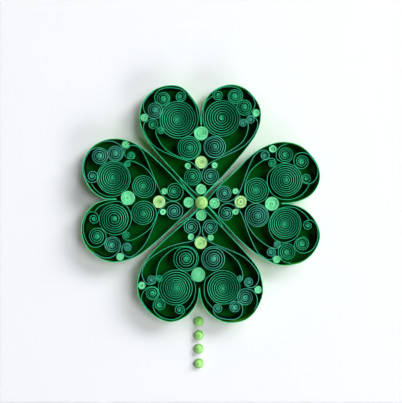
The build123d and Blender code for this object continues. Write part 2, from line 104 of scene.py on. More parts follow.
# Places in a leaf are (outwards from the clover's middle, sideways). In the leaf's own line,
# sideways counts clockwise, and in a half it counts towards that half. A coil has its radius too.
leaves = {
    "top": dict(
        direction=1j, fold=(47.4, -0.1),
        cleft_peg=(42.2, -0.1), yellow_peg=(24.6, -0.1), tip_peg=(8.0, 0.1),
    ),
    "left": dict(
        direction=-1, fold=(52.1, 2.1),
        cleft_peg=(44.7, 2.9), yellow_peg=(25.7, 0.6), tip_peg=(7.7, 0.1),
    ),
    "right": dict(
        direction=1, fold=(49.0, 0.5),
        cleft_peg=(42.9, 0.6), yellow_peg=(23.9, -0.4), tip_peg=(8.1, 0.4),
    ),
    "bottom": dict(
        direction=-1j, fold=(52.4, 1.2),
        cleft_peg=(43.9, 1.8), yellow_peg=(24.4, 0.3), tip_peg=(7.7, 0.0),
    ),
}

halves = {
    "top_left": dict(
        leaf="top", clockwise=False,
        big_coil=(50.7, 14.0, 10.8), middle_coil=(33.3, 7.4, 7.2), tip_coil=(15.8, 5.5, 4.6),
        crest_coil=(63.1, 23.2, 3.8), side_coil=(56.2, 28.3, 4.1), crest_loop=(64.5, 12.6, 2.4),
        rim_loop=(47.6, 29.4, 2.5), tiny_coil=(43.8, 24.7, 1.8),
        outer_peg=(51.5, 34.8), small_peg=(22.4, 8.3),
        tail=[(66.0, 8.4), (64.5, 6.7), (59.9, 3.9), (55.1, 2.6)],
        crest=[(59.1, 24.8), (61.4, 27.7), (64.5, 28.3), (68.0, 25.9), (69.7, 21.4), (68.7, 12.3),
               (66.2, 9.7), (63.1, 9.8)],
        side=[(68.0, 29.6), (65.0, 33.0), (60.9, 35.0), (56.9, 35.1), (53.4, 33.4), (51.2, 29.9)],
        long=[(50.1, 31.7), (48.5, 34.4), (45.0, 35.1), (35.0, 29.3), (27.4, 14.6), (24.3, 5.8),
              (19.8, 1.4), (16.1, 0.1)],
        inner=[(45.8, 25.7), (43.2, 27.7), (33.2, 22.5), (29.2, 16.6), (26.8, 10.5)],
        edge=[(3.9, 1.4), (8.9, 6.9), (34.4, 30.2), (41.4, 34.6), (48.4, 37.1), (55.1, 37.3),
              (62.6, 34.5), (68.5, 28.4), (71.1, 20.2), (69.9, 11.9), (58.4, 2.2), (52.0, 0.7)],
    ),
    "top_right": dict(
        leaf="top", clockwise=True,
        big_coil=(51.4, 12.6, 10.6), middle_coil=(33.8, 8.1, 6.7), tip_coil=(16.1, 5.8, 4.4),
        crest_coil=(64.7, 20.4, 3.6), side_coil=(58.1, 26.2, 4.0), crest_loop=(65.3, 10.1, 2.3),
        rim_loop=(50.6, 29.9, 2.3), tiny_coil=(48.3, 25.4, 1.9),
        outer_peg=(54.5, 33.1), small_peg=(22.8, 8.0),
        tail=[(64.8, 6.7), (61.4, 3.0), (57.5, 1.4), (54.4, 1.4)],
        crest=[(61.7, 17.4), (60.2, 20.5), (61.4, 23.6), (64.6, 25.0), (67.8, 24.1), (70.2, 20.3),
               (69.3, 9.8), (67.1, 7.2), (64.2, 7.2)],
        side=[(66.7, 28.7), (63.8, 31.4), (59.9, 32.6), (55.1, 30.4), (53.1, 26.5)],
        long=[(52.0, 32.0), (49.3, 34.2), (43.8, 33.2), (34.7, 26.2), (22.9, 3.5), (19.2, 1.0)],
        inner=[(49.7, 27.5), (46.7, 28.5), (40.5, 27.1), (35.9, 23.9), (28.0, 11.1)],
        edge=[(5.5, 2.5), (17.5, 14.3), (38.5, 31.3), (43.9, 34.2), (50.2, 35.9), (57.2, 35.7),
              (63.4, 32.5), (69.1, 26.8), (71.6, 19.2), (70.4, 12.0), (66.6, 5.8), (60.8, 1.9),
              (54.4, 0.3)],
    ),
    "left_upper": dict(
        leaf="left", clockwise=True,
        big_coil=(53.5, 15.1, 9.6), middle_coil=(35.1, 10.1, 6.4), tip_coil=(16.4, 6.9, 4.0),
        crest_coil=(61.8, 28.3, 4.2), side_coil=(52.3, 29.9, 4.4), crest_loop=(66.2, 16.0, 2.4),
        rim_loop=(42.7, 28.5, 2.0), tiny_coil=(44.8, 23.6, 1.6),
        outer_peg=(46.1, 35.4), small_peg=(22.5, 7.0),
        tail=[(66.9, 11.6), (64.3, 8.0), (59.7, 4.7), (54.2, 3.7), (49.0, 5.2), (45.1, 8.6), (43.2, 13.5),
              (43.9, 18.6)],
        crest=[(57.4, 31.1), (60.4, 33.0), (64.8, 33.0), (68.8, 30.2), (71.3, 25.3), (70.4, 15.2),
               (67.6, 12.4), (64.3, 12.7)],
        side=[(59.4, 37.3), (53.6, 37.1), (49.3, 34.8), (47.2, 30.9), (48.4, 27.0)],
        long=[(40.9, 27.0), (44.0, 26.7), (46.4, 28.6), (46.2, 32.2), (43.0, 34.7), (39.0, 34.2),
              (36.0, 31.4), (24.5, 6.3), (21.7, 2.9), (17.5, 1.1), (13.2, 2.1), (11.2, 5.3)],
        inner=[(46.6, 23.9), (44.7, 25.4), (34.9, 21.9), (28.3, 13.4)],
        edge=[(4.4, 2.5), (34.2, 31.8), (45.7, 37.9), (57.8, 38.2), (68.0, 32.0), (72.3, 21.1),
              (68.2, 9.7), (63.8, 5.2), (58.2, 2.5)],
    ),
    "left_lower": dict(
        leaf="left", clockwise=False,
        big_coil=(52.8, 9.9, 8.7), middle_coil=(35.3, 6.6, 6.8), tip_coil=(16.6, 5.2, 3.9),
        crest_coil=(63.4, 20.5, 4.4), side_coil=(54.1, 25.5, 4.4), crest_loop=(65.4, 9.7, 2.1),
        rim_loop=(44.9, 27.1, 1.9), tiny_coil=(45.5, 19.8, 1.7),
        outer_peg=(49.3, 33.1), small_peg=(23.3, 5.7),
        tail=[(64.5, 5.0), (61.4, 2.1), (50.9, -0.8), (46.0, 1.4), (43.0, 6.3)],
        crest=[(59.9, 25.3), (63.7, 27.1), (68.0, 25.7), (71.7, 16.0), (68.8, 6.5), (65.4, 5.6),
               (62.8, 7.6)],
        side=[(65.8, 30.1), (59.3, 33.4), (53.9, 32.8), (50.4, 29.8), (49.1, 25.9)],
        long=[(42.7, 26.3), (44.7, 24.5), (47.4, 25.6), (48.3, 28.6), (46.9, 31.6), (43.5, 33.0),
              (35.6, 27.1), (27.6, 10.6), (26.2, 6.0), (24.1, 2.6), (20.2, -0.2), (15.4, -0.4),
              (11.6, 2.9)],
        inner=[(47.6, 20.9), (45.9, 22.6), (42.0, 22.6), (31.5, 16.0), (28.7, 11.5)],
        edge=[(4.4, 2.0), (28.1, 24.2), (40.2, 33.0), (52.4, 36.1), (58.5, 35.1), (64.2, 32.1),
              (69.2, 27.4), (72.1, 21.4), (72.8, 15.7), (71.6, 9.9), (68.6, 4.6), (63.9, 0.5),
              (58.2, -1.4)],
    ),
    "right_upper": dict(
        leaf="right", clockwise=False,
        big_coil=(51.3, 13.6, 9.4), middle_coil=(33.3, 7.8, 6.6), tip_coil=(14.0, 5.7, 3.9),
        crest_coil=(61.0, 25.0, 3.5), side_coil=(51.0, 29.1, 4.0), crest_loop=(63.7, 14.6, 2.5),
        rim_loop=(38.7, 28.7, 2.4), tiny_coil=(42.9, 24.0, 1.9),
        outer_peg=(43.4, 32.7), small_peg=(20.7, 6.9),
        tail=[(65.6, 11.0), (62.9, 6.7), (58.8, 3.5), (53.4, 1.9), (46.9, 2.7), (42.3, 6.3), (40.0, 12.0),
              (41.0, 18.1), (45.2, 21.9)],
        crest=[(56.2, 26.2), (57.4, 29.1), (61.5, 30.4), (66.8, 28.2), (70.0, 23.6), (70.8, 18.1),
               (69.0, 13.6), (65.5, 11.4), (61.9, 12.3)],
        side=[(52.0, 35.7), (48.3, 34.3), (45.7, 30.9), (45.8, 26.8), (48.7, 24.8)],
        long=[(41.2, 29.6), (39.4, 31.7), (36.0, 31.5), (32.6, 28.8), (29.7, 23.8), (22.6, 5.4),
              (19.5, 1.9), (15.4, 0.5), (11.0, 1.8), (9.3, 5.5)],
        inner=[(45.3, 24.3), (44.1, 26.6), (39.3, 26.4), (29.7, 18.9), (26.2, 7.3), (28.0, 2.3),
               (32.8, -0.2), (37.8, 1.4)],
        edge=[(4.7, 2.8), (8.9, 7.9), (23.4, 21.7), (27.3, 26.0), (36.8, 33.1), (48.4, 36.8),
              (60.2, 34.4), (69.3, 25.3), (71.7, 19.2), (71.7, 13.5), (69.6, 8.3), (65.7, 4.1),
              (59.9, 1.2), (53.8, -0.1)],
    ),
    "right_lower": dict(
        leaf="right", clockwise=True,
        big_coil=(50.9, 12.9, 8.9), middle_coil=(34.1, 8.1, 6.3), tip_coil=(15.2, 6.3, 3.6),
        crest_coil=(61.2, 25.0, 3.5), side_coil=(52.1, 29.9, 4.2), crest_loop=(64.8, 13.8, 1.8),
        rim_loop=(42.3, 30.2, 2.2), tiny_coil=(45.9, 25.4, 1.7),
        outer_peg=(45.8, 34.6), small_peg=(20.8, 5.5),
        tail=[(65.3, 10.2), (63.1, 7.2), (56.0, 2.9), (46.9, 3.8), (42.9, 7.7), (40.9, 13.2),
              (42.6, 19.8), (47.4, 23.9), (53.2, 23.6), (58.1, 20.4), (60.4, 14.8)],
        crest=[(61.5, 20.8), (57.8, 22.6), (56.5, 26.4), (58.9, 29.9), (63.2, 30.5), (67.6, 28.2),
               (70.4, 23.1), (70.8, 17.3), (69.3, 12.7), (66.0, 10.6), (62.8, 11.6)],
        side=[(54.4, 36.8), (49.7, 35.5), (47.0, 32.2), (47.2, 27.5), (50.4, 25.0)],
        long=[(44.9, 31.3), (43.8, 34.2), (39.9, 34.5), (35.9, 32.5), (29.4, 20.4), (23.9, 5.9),
              (20.6, 2.1), (16.2, 0.4), (12.3, 1.9), (10.5, 5.6)],
        inner=[(47.9, 26.0), (46.1, 27.7), (41.5, 26.9), (31.4, 18.7), (26.7, 8.7), (27.6, 3.7),
               (31.1, 0.8), (35.6, 1.0), (39.6, 4.1)],
        edge=[(6.2, 4.2), (23.5, 22.8), (35.6, 32.5), (47.8, 37.9), (59.6, 36.6), (65.4, 33.1),
              (69.6, 28.0), (71.9, 21.4), (71.3, 15.7), (68.6, 10.2), (64.2, 5.3), (58.7, 2.2),
              (53.2, 0.9)],
    ),
    "bottom_left": dict(
        leaf="bottom", clockwise=True,
        big_coil=(51.9, 15.5, 10.1), middle_coil=(34.1, 9.4, 7.4), tip_coil=(14.7, 6.1, 3.9),
        crest_coil=(62.0, 25.3, 2.7), side_coil=(55.0, 29.7, 3.9), crest_loop=(65.1, 13.3, 2.2),
        rim_loop=(46.9, 30.3, 2.2), tiny_coil=(45.7, 25.7, 1.3),
        outer_peg=(50.4, 36.5), small_peg=(20.9, 6.4),
        tail=[(65.1, 9.4), (62.3, 6.7), (58.5, 4.6), (53.0, 3.5), (48.4, 4.3), (44.9, 6.6)],
        crest=[(58.5, 25.9), (60.0, 28.5), (63.3, 29.2), (67.1, 27.4), (69.9, 23.6), (71.0, 17.8),
               (69.4, 13.2), (66.3, 10.3), (63.2, 10.9)],
        side=[(66.1, 31.6), (62.5, 35.0), (58.2, 36.4), (53.8, 35.0), (51.2, 31.7), (51.4, 27.9)],
        long=[(48.9, 28.3), (49.6, 31.7), (47.9, 34.4), (43.9, 36.0), (39.0, 35.0), (34.4, 31.7),
              (27.1, 20.2), (24.8, 12.9), (23.5, 6.4), (21.1, 2.6), (16.9, 0.6), (12.3, 1.6)],
        inner=[(47.9, 25.8), (45.7, 27.3), (35.9, 25.2), (28.8, 18.0), (26.9, 13.2), (26.5, 8.6)],
        edge=[(4.4, 2.2), (9.1, 6.9), (31.9, 31.1), (43.9, 37.8), (55.1, 38.5), (65.7, 32.4),
              (72.1, 21.4), (71.9, 15.4), (69.0, 9.3), (64.5, 4.9), (59.1, 2.3)],
    ),
    "bottom_right": dict(
        leaf="bottom", clockwise=False,
        big_coil=(51.8, 13.3, 9.5), middle_coil=(34.1, 7.4, 6.8), tip_coil=(15.0, 5.6, 3.6),
        crest_coil=(63.4, 20.5, 2.8), side_coil=(57.6, 26.8, 4.2), crest_loop=(64.3, 10.1, 2.2),
        rim_loop=(48.2, 28.8, 2.3), tiny_coil=(45.9, 23.6, 1.3),
        outer_peg=(53.0, 34.5), small_peg=(21.2, 5.8),
        tail=[(63.9, 7.0), (60.2, 3.7), (55.4, 1.9), (46.3, 2.9), (41.7, 9.5)],
        crest=[(60.0, 21.4), (61.7, 24.1), (65.0, 25.1), (68.5, 24.0), (70.8, 20.7), (69.7, 10.7),
               (66.6, 7.5), (63.3, 7.5)],
        side=[(64.9, 32.4), (60.9, 33.9), (56.9, 33.6), (53.5, 31.1), (52.3, 27.4)],
        long=[(50.2, 26.9), (51.6, 29.6), (50.6, 32.6), (47.2, 34.7), (42.4, 34.2), (33.2, 26.1),
              (23.3, 4.4), (20.0, 1.4), (16.0, 0.7), (12.2, 1.9)],
        inner=[(47.8, 24.0), (45.3, 25.2), (36.2, 22.4), (28.2, 12.9), (26.6, 7.6)],
        edge=[(4.4, 1.9), (13.8, 11.4), (37.8, 32.9), (43.0, 35.6), (54.8, 37.3), (65.1, 33.2),
              (69.7, 29.0), (72.3, 23.5), (72.1, 12.6), (65.1, 2.9), (59.7, 0.2)],
    ),
}


# How each coil is wound: its pitch in millimetres, and the radius down to which it keeps that pitch.
# A coil that is wound otherwise has an entry of its own.
eye = (0.42, 0.3)
windings = {
    "big_coil": [(1.3, 2.0), (1.0, 0.9), eye],
    "middle_coil": [(1.33, 1.8), (0.9, 0.9), eye],
    "tip_coil": [(1.33, 1.1), eye],
    "crest_coil": [(1.3, 1.4), eye],
    "side_coil": [(1.3, 1.3), eye],
    "crest_loop": [(1.5, 0.9), eye],
    "rim_loop": [(1.4, 0.9), eye],
    "tiny_coil": [(1.2, 0.7), eye],
}
own_windings = {
    ("top_left", "big_coil"): [(1.37, 2.8), (0.9, 0.8), eye],
    ("top_right", "big_coil"): [(1.46, 2.6), (1.6, 1.3), eye],
    ("left_upper", "big_coil"): [(1.36, 3.6), (1.1, 0.9), eye],
    ("left_lower", "big_coil"): [(1.32, 4.0), (1.6, 1.3), eye],
    ("right_lower", "big_coil"): [(1.3, 2.4), (0.9, 1.0), eye],
    ("bottom_left", "big_coil"): [(1.5, 6.0), (1.14, 2.4), (0.8, 0.8), eye],
    ("bottom_right", "big_coil"): [(1.36, 2.4), (0.9, 0.9), eye],
    ("top_right", "middle_coil"): [(1.4, 2.2), (1.1, 0.9), eye],
    ("left_upper", "middle_coil"): [(1.32, 2.0), (0.9, 1.1), eye],
    ("right_upper", "middle_coil"): [(1.32, 2.4), (0.9, 1.0), eye],
    ("right_lower", "middle_coil"): [(1.32, 2.0), (0.9, 1.0), eye],
    ("bottom_left", "middle_coil"): [(1.8, 4.0), (1.3, 1.3), eye],
    ("bottom_right", "middle_coil"): [(1.6, 3.4), (1.1, 1.5), eye],
}

# A free stretch settles onto its coil's rim over this share of a turn, faster at first
settling_turn = 0.9
settling_ease = 1.3

# How far the turns of each coil lean, in millimetres across the strip. The middle of a coil with a
# positive lean stands proud of its rim, and with a negative one it is sunk.
leans = {
    "top_left": dict(big_coil=-0.09, middle_coil=0.05, tip_coil=0.12, crest_coil=0.11, side_coil=0.12,
                     crest_loop=-0.07, rim_loop=-0.12),
    "top_right": dict(big_coil=-0.11, middle_coil=0.16, tip_coil=-0.04, crest_coil=0.03, side_coil=0.1),
    "left_upper": dict(big_coil=-0.11, middle_coil=-0.07, tip_coil=-0.09, crest_coil=0.07, side_coil=0.05),
    "left_lower": dict(big_coil=0.1, middle_coil=0.06, tip_coil=0.03, crest_coil=0.06, side_coil=-0.14),
    "right_upper": dict(big_coil=0.05, middle_coil=-0.03, tip_coil=0.04, crest_coil=-0.05, side_coil=-0.11,
                        crest_loop=-0.09, rim_loop=-0.12),
    "right_lower": dict(big_coil=-0.06, middle_coil=0.11, tip_coil=0.07, crest_coil=-0.06, side_coil=-0.1),
    "bottom_left": dict(big_coil=0.06, middle_coil=0.04, tip_coil=-0.06, crest_coil=-0.11, side_coil=0.06),
    "bottom_right": dict(big_coil=-0.1, middle_coil=0.06, tip_coil=-0.04, crest_coil=-0.09, side_coil=-0.1),
}

# How a strip's top edge wavers: by how many millimetres, over how many points of its path, in how many
# waves, and between which limits their paces and heights are drawn
waver_depth = 0.12
waver_points = 90
waver_count = 4
waver_paces = (0.6, 1.6)
waver_heights = (0.3, 1)

# Tight rolls: the pegs and the domes. A share of the turns is wound looser, by up to roll_slack. A
# peg's turns are sunk by up to roll_unevenness, and follow each other in that by sinking_pace at each
# step. A turn has roll_steps at a radius of 1 mm, and never fewer than fewest_roll_steps.
roll_thickness = 0.28
roll_pitch = 0.3
roll_slack = 0.22
loose_turn_share = 0.35
roll_eye = 0.2
roll_bevel = 0.03
roll_unevenness = 1.2
sinking_pace = 0.3
roll_steps = 28
fewest_roll_steps = 16


# Plane geometry, with each point as one complex number

def cross(a, b):
    """Positive when b points to the left of a."""
    return (a.conjugate() * b).imag


def smooth(points):
    """A curve through the points. The first and the last point only steer it."""
    path = []
    for a, b, c, d in zip(points, points[1:], points[2:], points[3:]):
        before, across, after = abs(b - a) ** 0.5, abs(c - b) ** 0.5, abs(d - c) ** 0.5
        leaving = (c - b) + across * ((b - a) / before - (c - a) / (before + across))
        arriving = (c - b) + across * ((d - c) / after - (d - b) / (across + after))
        for step in range(spline_steps):
            t = step / spline_steps
            start_share = 2 * t**3 - 3 * t**2 + 1
            leaving_share = t**3 - 2 * t**2 + t
            arriving_share = t**3 - t**2
            path.append(
                start_share * b + leaving_share * leaving
                + (1 - start_share) * c + arriving_share * arriving)
    return path + [points[-2]]


def shifted(path, distances):
    """Moves each point of the path to its left by its own distance, square to the path."""
    moved = []
    for i, p in enumerate(path):
        arriving = p - path[i - 1] if i else path[1] - p
        leaving = path[i + 1] - p if i < len(path) - 1 else arriving
        normal = 1j * (arriving / abs(arriving) + leaving / abs(leaving))
        widening = 2 / max(abs(normal) ** 2, 2 / sharpest_widening)
        moved.append(p + normal * widening * distances[i])
    return moved


def nearest(path, p):
    """The point of the path that is nearest to p, and the direction of the path there."""
    best = None
    for a, b in zip(path, path[1:]):
        along = b - a
        share = min(max(((p - a) * along.conjugate()).real / abs(along) ** 2, 0), 1)
        distance = abs(a + along * share - p)
        if best is None or distance < best[0]:
            best = distance, a + along * share, along / abs(along)
    return best[1:]


def halves_of(leaf):
    return [(name, half) for name, half in halves.items() if half["leaf"] == leaf]


def side_of(leaf, clockwise):
    return next(half for _, half in halves_of(leaf) if half["clockwise"] == clockwise)


def place(point, clockwise):
    """A place of the table as one complex number. Its sideways part counts towards this side."""
    return complex(point[0], -point[1] if clockwise else point[1])


def stretch(half, name):
    return [place(point, half["clockwise"]) for point in half[name]]


def wall_course(leaf):
    """Middle line of the leaf's wall: along the clockwise side, through the fold, and back."""
    fold = place(leaves[leaf]["fold"], True)
    half_fold = (strip_thickness + fold_gap) / 2
    into = [fold + complex(fold_mouth, -half_fold), fold - 1j * half_fold]
    out_of = [fold + 1j * half_fold, fold + complex(fold_mouth, half_fold)]
    bend = [fold + rect(half_fold, -pi / 2 - pi * k / fold_steps) for k in range(1, fold_steps)]
    tip = complex(tip_distance, 0)
    rising = stretch(side_of(leaf, True), "edge")
    falling = stretch(side_of(leaf, False), "edge")[::-1]
    up = smooth([2 * tip - rising[0], tip, *rising, *into])
    down = smooth([*out_of, *falling, tip, 2 * tip - falling[-1]])
    return up + [into[1]], bend, [out_of[0]] + down


def wall_path(leaf):
    """Middle line of the leaf's one strip. It goes on round the tip, and up outside its own start."""
    up, bend, down = wall_course(leaf)
    tip = up[0]
    outwards = (up[1] - tip) / abs(up[1] - tip)
    start = [tip + outwards * wall_start] + [p for p in up if abs(p - tip) > wall_start * start_spacing]
    course = [p for p in up if abs(p - tip) < tab_length]
    lap = strip_thickness + overlap_gap
    tab = shifted(course, [-lap - tab_splay * (abs(p - tip) / tab_length) ** tab_ease for p in course])
    return start + bend + down[:-1] + tab


def kept_inside(p, half_size, wall):
    """Moves a point inwards until a piece of this half size stands clear of the wall."""
    foot, along = nearest(wall, p)
    needed = half_size + strip_thickness / 2 + touch_gap
    if cross(along, p - foot) <= 0:
        return foot + 1j * along * needed
    if abs(p - foot) < needed:
        return foot + (p - foot) / abs(p - foot) * needed
    return p


def cleared(p, wall, discs):
    """Moves a point of a strip's middle line until the strip stands clear of its neighbours."""
    for _ in range(clearing_rounds):
        p = kept_inside(p, strip_thickness / 2, wall)
        for centre, radius in discs:
            needed = radius + strip_thickness / 2 + touch_gap
            if abs(p - centre) < needed:
                p = centre + (p - centre) / abs(p - centre) * needed
    return p


def wound(winding, disc, last, before):
    """Middle line of a coil's turns from the free stretch's last point inwards to the eye."""
    centre, rim = disc
    rim -= strip_thickness / 2
    knots = [(settling_turn, rim)]
    for pitch, until in winding:
        turn, radius = knots[-1]
        until = min(until, radius - strip_thickness)
        knots.append((turn + (radius - until) / pitch, until))
    arm = last - centre
    sense = 1 if cross(arm, last - before) > 0 else -1
    path, turned = [], 0
    while turned < knots[-1][0]:
        if turned < settling_turn:
            apart = 1 - turned / settling_turn
            radius = rim + (abs(arm) - rim) * apart ** settling_ease
        else:
            (t0, r0), (t1, r1) = next((a, b) for a, b in zip(knots, knots[1:]) if turned < b[0])
            radius = r0 + (r1 - r0) * (turned - t0) / (t1 - t0)
        if turned:
            path.append(centre + rect(radius, phase(arm) + sense * tau * turned))
        turned += 1 / max(smallest_turn_steps, turn_steps * sqrt(radius / turn_steps_radius))
    return path


def roll(radius, seed):
    """Middle line of a tight roll from the outside inwards, and how far each of its points is sunk."""
    dice = random.Random(seed)
    path, sinking = [], []
    start, angle, r = dice.uniform(0, tau), 0, radius - roll_thickness / 2
    pitch, depth, aim = roll_pitch, 0, 0
    while r > roll_eye:
        path.append(rect(r, start + angle))
        sinking.append(depth)
        step = tau / max(fewest_roll_steps, roll_steps * sqrt(r))
        if int((angle + step) / tau) != int(angle / tau):
            is_loose = dice.random() < loose_turn_share
            pitch = roll_pitch + (roll_slack * dice.random() if is_loose else 0)
            aim = roll_unevenness * dice.random() ** 2
        depth += (aim - depth) * sinking_pace
        angle += step
        r -= pitch * step / tau
    return path, sinking


# Meshes

def on_card(p, leaf):
    return clover_middle + leaves[leaf]["direction"] * p


def new_piece(name, points, faces, material, slot, *nodes):
    mesh = bpy.data.meshes.new(name)
    mesh.from_pydata(points, [], faces)
    mesh.validate()
    mesh.polygons.foreach_set("use_smooth", [True] * len(mesh.polygons))
    mesh.set_sharp_from_angle(angle=radians(sharp_edge_angle))
    mesh.materials.append(material)
    piece = bpy.data.objects.new(name, mesh)
    bpy.context.scene.collection.objects.link(piece)
    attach(piece, "root")
    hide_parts(*nodes)


def ribbon(path, low, tops, thickness=strip_thickness, right_tops=None, bevel=edge_bevel):
    """Closed mesh of a strip on edge. path is in millimetres, low and tops are levels in metres."""
    half = thickness / 2
    rails = [shifted(path, [offset] * len(path)) for offset in (half, half, half - bevel)]
    rails += [shifted(path, [-offset] * len(path)) for offset in (half - bevel, half, half)]
    points, faces = [], []
    for i, (left, right) in enumerate(zip(tops, right_tops or tops)):
        levels = (low, left - bevel * mm, left, right, right - bevel * mm, low)
        for rail, z in zip(rails, levels):
            points.append((rail[i].real * mm, rail[i].imag * mm, z))
    count = len(rails)
    for i in range(len(path) - 1):
        a, b = count * i, count * (i + 1)
        for k in range(count):
            n = (k + 1) % count
            faces.append((a + k, a + n, b + n, b + k))
    last = len(points) - count
    faces.append(tuple(range(count - 1, -1, -1)))
    faces.append(tuple(range(last, last + count)))
    return points, faces


def wavering(count, seed, height):
    """Top levels of a strip, which isn't cut and glued perfectly level."""
    dice = random.Random(seed)
    waves = []
    for _ in range(waver_count):
        start = dice.uniform(0, tau)
        pace = dice.uniform(*waver_paces) * tau / waver_points
        waves.append((start, pace, dice.uniform(*waver_heights)))
    total = sum(share for _, _, share in waves)
    levels = []
    for i in range(count):
        wave = sum(share * sin(start + i * pace) for start, pace, share in waves) / total
        levels.append(height - waver_depth * mm * (0.5 + 0.5 * wave))
    return levels


# Materials. The noises are finer with a larger scale. By the height of its normal, a surface is a
# strip's face up to face_slope and its cut edge from edge_slope on. The cut edge on top is painted
# lighter, as painted light, and the faces darker, as painted shade.

mottle_scale = 140
mottle_detail = 5
fibre_scale = 2500
fibre_detail = 3
fibre_height = 0.05 * mm
face_slope = 0.4
edge_slope = 0.75
scatter_colour = (1.5, 1.3, 0.1)
scatter_depth = 0.25 * mm


def linear(level):
    """Linear light of an sRGB level from 0 to 1."""
    return level / 12.92 if level <= 0.04045 else ((level + 0.055) / 1.055) ** 2.4


def colour(hexa):
    """Linear colour from six hex digits."""
    return (*[linear(int(hexa[i:i + 2], 16) / 255) for i in (0, 2, 4)], 1)


def add_noise(tree, coordinates, scale, detail):
    noise = tree.nodes.new("ShaderNodeTexNoise")
    noise.inputs["Scale"].default_value = scale
    noise.inputs["Detail"].default_value = detail
    tree.links.new(coordinates.outputs["Object"], noise.inputs["Vector"])
    return noise.outputs["Fac"]


def add_slope(tree, axes, on_face, on_edge):
    """A number that has one value on the faces of a strip and another on its cut edge."""
    slope = tree.nodes.new("ShaderNodeMapRange")
    slope.inputs["From Min"].default_value = face_slope
    slope.inputs["From Max"].default_value = edge_slope
    slope.inputs["To Min"].default_value = on_face
    slope.inputs["To Max"].default_value = on_edge
    tree.links.new(axes.outputs["Z"], slope.inputs["Value"])
    return slope.outputs["Result"]


def add_mix(tree, factor):
    mix = tree.nodes.new("ShaderNodeMix")
    mix.data_type = "RGBA"
    tree.links.new(factor, mix.inputs["Factor"])
    return mix


def paper(name, face_and_painted_shade, edge, mottle_and_painted_shade, grain=0.25, roughness=0.85, gloss=0.12, translucent=False):
    """Coloured paper: mottled faces, and a cut edge on top in a colour of its own. Where the two colours
    differ, the top edge carries painted light and the faces painted shade.
    """
    material = bpy.data.materials.new(name)
    material.use_nodes = True
    tree = material.node_tree
    shader = tree.nodes["Principled BSDF"]
    shader.inputs["Roughness"].default_value = roughness
    shader.inputs["Specular IOR Level"].default_value = gloss
    coordinates = tree.nodes.new("ShaderNodeTexCoord")
    geometry = tree.nodes.new("ShaderNodeNewGeometry")
    axes = tree.nodes.new("ShaderNodeSeparateXYZ")
    tree.links.new(geometry.outputs["True Normal"], axes.inputs["Vector"])

    # The faces mottle between two colours. For the strips, rolls, domes and walls these are darker than the
    # top edge, as painted shade.
    faces = add_mix(tree, add_noise(tree, coordinates, mottle_scale, mottle_detail))
    faces.inputs["A"].default_value = colour(mottle_and_painted_shade)
    faces.inputs["B"].default_value = colour(face_and_painted_shade)
    # Where the normal points up, the edge colour takes over. On most papers it is lighter, a painted
    # highlight along the top.
    painted_light_and_shade = add_mix(tree, add_slope(tree, axes, 0, 1))
    painted_light_and_shade.inputs["B"].default_value = colour(edge)
    tree.links.new(faces.outputs["Result"], painted_light_and_shade.inputs["A"])
    tree.links.new(painted_light_and_shade.outputs["Result"], shader.inputs["Base Color"])

    bump = tree.nodes.new("ShaderNodeBump")
    bump.inputs["Strength"].default_value = grain
    bump.inputs["Distance"].default_value = fibre_height
    tree.links.new(add_noise(tree, coordinates, fibre_scale, fibre_detail), bump.inputs["Height"])
    tree.links.new(bump.outputs["Normal"], shader.inputs["Normal"])

    if translucent:
        shader.inputs["Subsurface Radius"].default_value = scatter_colour
        shader.inputs["Subsurface Scale"].default_value = scatter_depth
        tree.links.new(add_slope(tree, axes, 1, 0), shader.inputs["Subsurface Weight"])
    return material


strip_finish = dict(grain=0.05, roughness=0.5)
# The strips' faces are painted nearly black, as painted shade for the dark gaps between the turns. Their
# top edges are painted bright, as painted light.
emerald = paper("emerald_paper", face_and_painted_shade="001c0c", edge="2ccc8c", mottle_and_painted_shade="00180a", gloss=0.15, **strip_finish)
teal = paper("teal_paper", face_and_painted_shade="021c1c", edge="4acaa4", mottle_and_painted_shade="021818", gloss=0.2, **strip_finish)
# The walls, pegs and domes are painted lighter on their top edges than on their faces: painted light on the
# tops and painted shade on the sides.
wall_green = paper("wall_paper", face_and_painted_shade="4eb42c", edge="34eca6", mottle_and_painted_shade="46a826", gloss=0.05, translucent=True)
base_green = paper("base_paper", face_and_painted_shade="047420", edge="047420", mottle_and_painted_shade="03661c", gloss=0.02)
mint = paper("mint_paper", face_and_painted_shade="60e094", edge="88ffbe", mottle_and_painted_shade="50d084")
yellow_green = paper("yellow_green_paper", face_and_painted_shade="98ec78", edge="c8ffb0", mottle_and_painted_shade="88dc68")
light_green = paper("light_green_paper", face_and_painted_shade="58ac34", edge="bcff98", mottle_and_painted_shade="4ca028")
card = paper("card_paper", face_and_painted_shade="f7fafd", edge="f7fafd", mottle_and_painted_shade="f4f7fb", grain=0.15, gloss=0.02)

# The strips of teal paper. All the others are emerald.
teal_strips = {
    "top_left_side_coil", "top_right_long_scroll", "top_right_inner_scroll", "left_upper_crest_scroll",
    "left_upper_side_coil", "left_lower_side_coil", "left_lower_long_scroll", "right_upper_long_scroll",
    "right_lower_long_scroll", "right_lower_inner_scroll", "bottom_left_long_scroll",
    "bottom_right_crest_scroll", "bottom_right_side_coil", "bottom_right_long_scroll",
    "bottom_right_inner_scroll",
}


# Strips. A coil is given here as its name, its middle and its radius.

def end_turns(half_name, coil, end, before):
    """Turns of the coil at one end of a strip. A bare end has one point there, which only steers."""
    if not coil:
        return [2 * end - before]
    winding = own_windings.get((half_name, coil[0]), windings[coil[0]])
    return wound(winding, coil[1:], end, before)


def leaning(path, coil, leaf, half_name, inwards):
    """How much lower the strip's right side is than its left, at each point of the coil."""
    lean = leans[half_name].get(coil[0], 0) * mm
    centre = on_card(coil[1], leaf)
    drops = {}
    for step, i in enumerate(inwards, 1):
        along = path[min(i + 1, len(path) - 1)] - path[max(i - 1, 0)]
        sense = 1 if cross(along, centre - path[i]) > 0 else -1
        drops[i] = lean * min(1, step / turn_steps) * sense
    return drops


